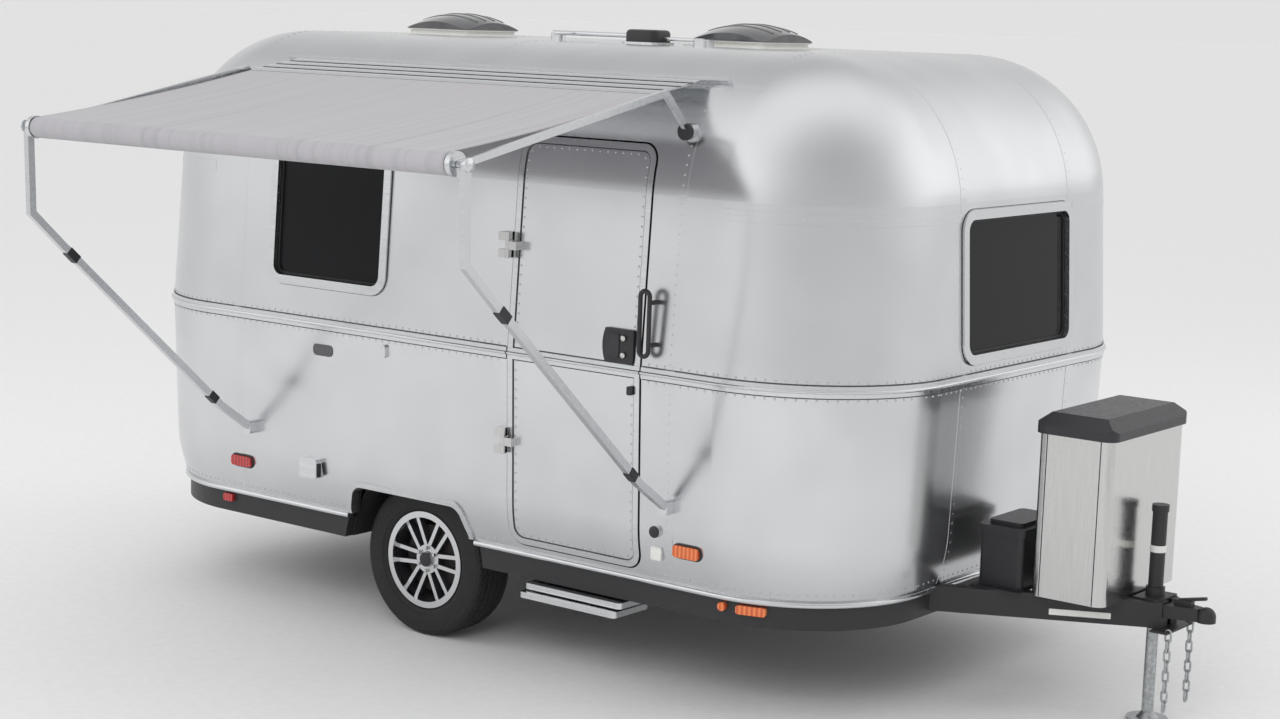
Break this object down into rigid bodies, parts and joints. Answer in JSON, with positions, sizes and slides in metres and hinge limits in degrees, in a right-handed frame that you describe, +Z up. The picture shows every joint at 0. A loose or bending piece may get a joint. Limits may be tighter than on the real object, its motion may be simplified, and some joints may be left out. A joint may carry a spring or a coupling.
{
  "type": "travel caravan",
  "caption": "A riveted polished aluminium travel caravan on one axle, with its awning set out, a hinged entry door, roof vents, gas locker and tongue jack.",
  "frame": {"origin": "centre of the hitch ball in the coupler socket", "axes": "+X forward along the tongue, +Y to the caravan's left, +Z up; the ground is 0.445 m below the origin"},
  "size_m": [4.9094, 3.6809, 2.6234],
  "materials": {
    "polished_aluminium": "polished sheet with a soft sheen",
    "bright_trim": "bright anodised extrusion",
    "chassis_steel": "satin dark grey paint",
    "black_plastic": "grained black",
    "smoked_glass": "dark tinted",
    "tyre_rubber": "matt",
    "wheel_alloy": "machined faces",
    "galvanised": "zinc coated",
    "stainless": "bright brushed",
    "white_plastic": "smooth white",
    "smoked_plastic": "smoked dome",
    "awning_cloth": "woven acrylic",
    "amber_lens": "clear amber",
    "red_lens": "clear red",
    "bottle_paint": "white paint"
  },
  "bodies": {
    "caravan": {"wall_right": "polished_aluminium", "wall_left": "polished_aluminium", "roof": "polished_aluminium", "front_panel": "polished_aluminium", "rear_panel": "polished_aluminium", "front_corners": "polished_aluminium", "rear_corners": "polished_aluminium", "floor": "chassis_steel", "belly_pan": "chassis_steel", "wheel_housings": "chassis_steel", "sill_rail": "bright_trim", "arch_trims": "bright_trim", "belt_rail": "bright_trim", "window_frames": "bright_trim", "window_glass": "smoked_glass", "hinge_plates": "chassis_steel", "grab_handle": "chassis_steel", "entry_step": "chassis_steel", "tongue_leg_right": "chassis_steel", "tongue_leg_left": "chassis_steel", "tongue_plates": "chassis_steel", "coupler": "chassis_steel", "jack_tube": "black_plastic", "safety_chains": "galvanised", "axle": "chassis_steel", "stabilisers": "chassis_steel", "vent_bases": "white_plastic", "aerial": "bright_trim", "awning_rail": "bright_trim", "awning_slats": "bright_trim", "awning_fabric": "awning_cloth", "awning_roller": "bright_trim", "awning_arms": "bright_trim", "awning_rafters": "bright_trim", "awning_brackets": "chassis_steel", "gas_locker": "stainless", "gas_bottles": "bottle_paint", "battery_box": "black_plastic", "amber_lamps": "amber_lens", "red_lamps": "red_lens", "wall_fittings": "bright_trim", "hatches": "polished_aluminium"},
    "wheel_right": {"tyre_right": "tyre_rubber", "rim_right": "wheel_alloy", "drum_right": "chassis_steel"},
    "wheel_left": {"tyre_left": "tyre_rubber", "rim_left": "wheel_alloy", "drum_left": "chassis_steel"},
    "door": {"door_panel": "polished_aluminium", "door_bead": "bright_trim", "door_hinges": "stainless", "door_lock": "black_plastic"},
    "vent_lid_front": {"vent_lid_front": "smoked_plastic"},
    "vent_lid_rear": {"vent_lid_rear": "smoked_plastic"},
    "gas_lid": {"gas_lid": "black_plastic"},
    "jack_leg": {"jack_leg": "galvanised"}
  },
  "joints": [
    {"name": "wheel_right_spin", "type": "hinge", "parent": "caravan", "child": "wheel_right", "pos_m": [-3.059, -0.9775, -0.117], "axis": [0, 1, 0], "continuous": true},
    {"name": "wheel_left_spin", "type": "hinge", "parent": "caravan", "child": "wheel_left", "pos_m": [-3.059, 0.9775, -0.117], "axis": [0, 1, 0], "continuous": true},
    {"name": "door_swing", "type": "hinge", "parent": "caravan", "child": "door", "pos_m": [-2.49, -1.235, 0.7], "axis": [0, 0, -1], "range_deg": [0, 170]},
    {"name": "vent_front_lift", "type": "hinge", "parent": "caravan", "child": "vent_lid_front", "pos_m": [-2.414, 0, 2.1], "axis": [0, -1, 0], "range_deg": [0, 65]},
    {"name": "vent_rear_lift", "type": "hinge", "parent": "caravan", "child": "vent_lid_rear", "pos_m": [-4.064, 0, 2.1], "axis": [0, -1, 0], "range_deg": [0, 65]},
    {"name": "gas_lid_lift", "type": "hinge", "parent": "caravan", "child": "gas_lid", "pos_m": [-0.612, 0, 0.6714], "axis": [0, -1, 0], "range_deg": [0, 95]},
    {"name": "jack_extend", "type": "slide", "parent": "caravan", "child": "jack_leg", "axis": [0, 0, 1], "range_m": [0, 0.3]}
  ]
}
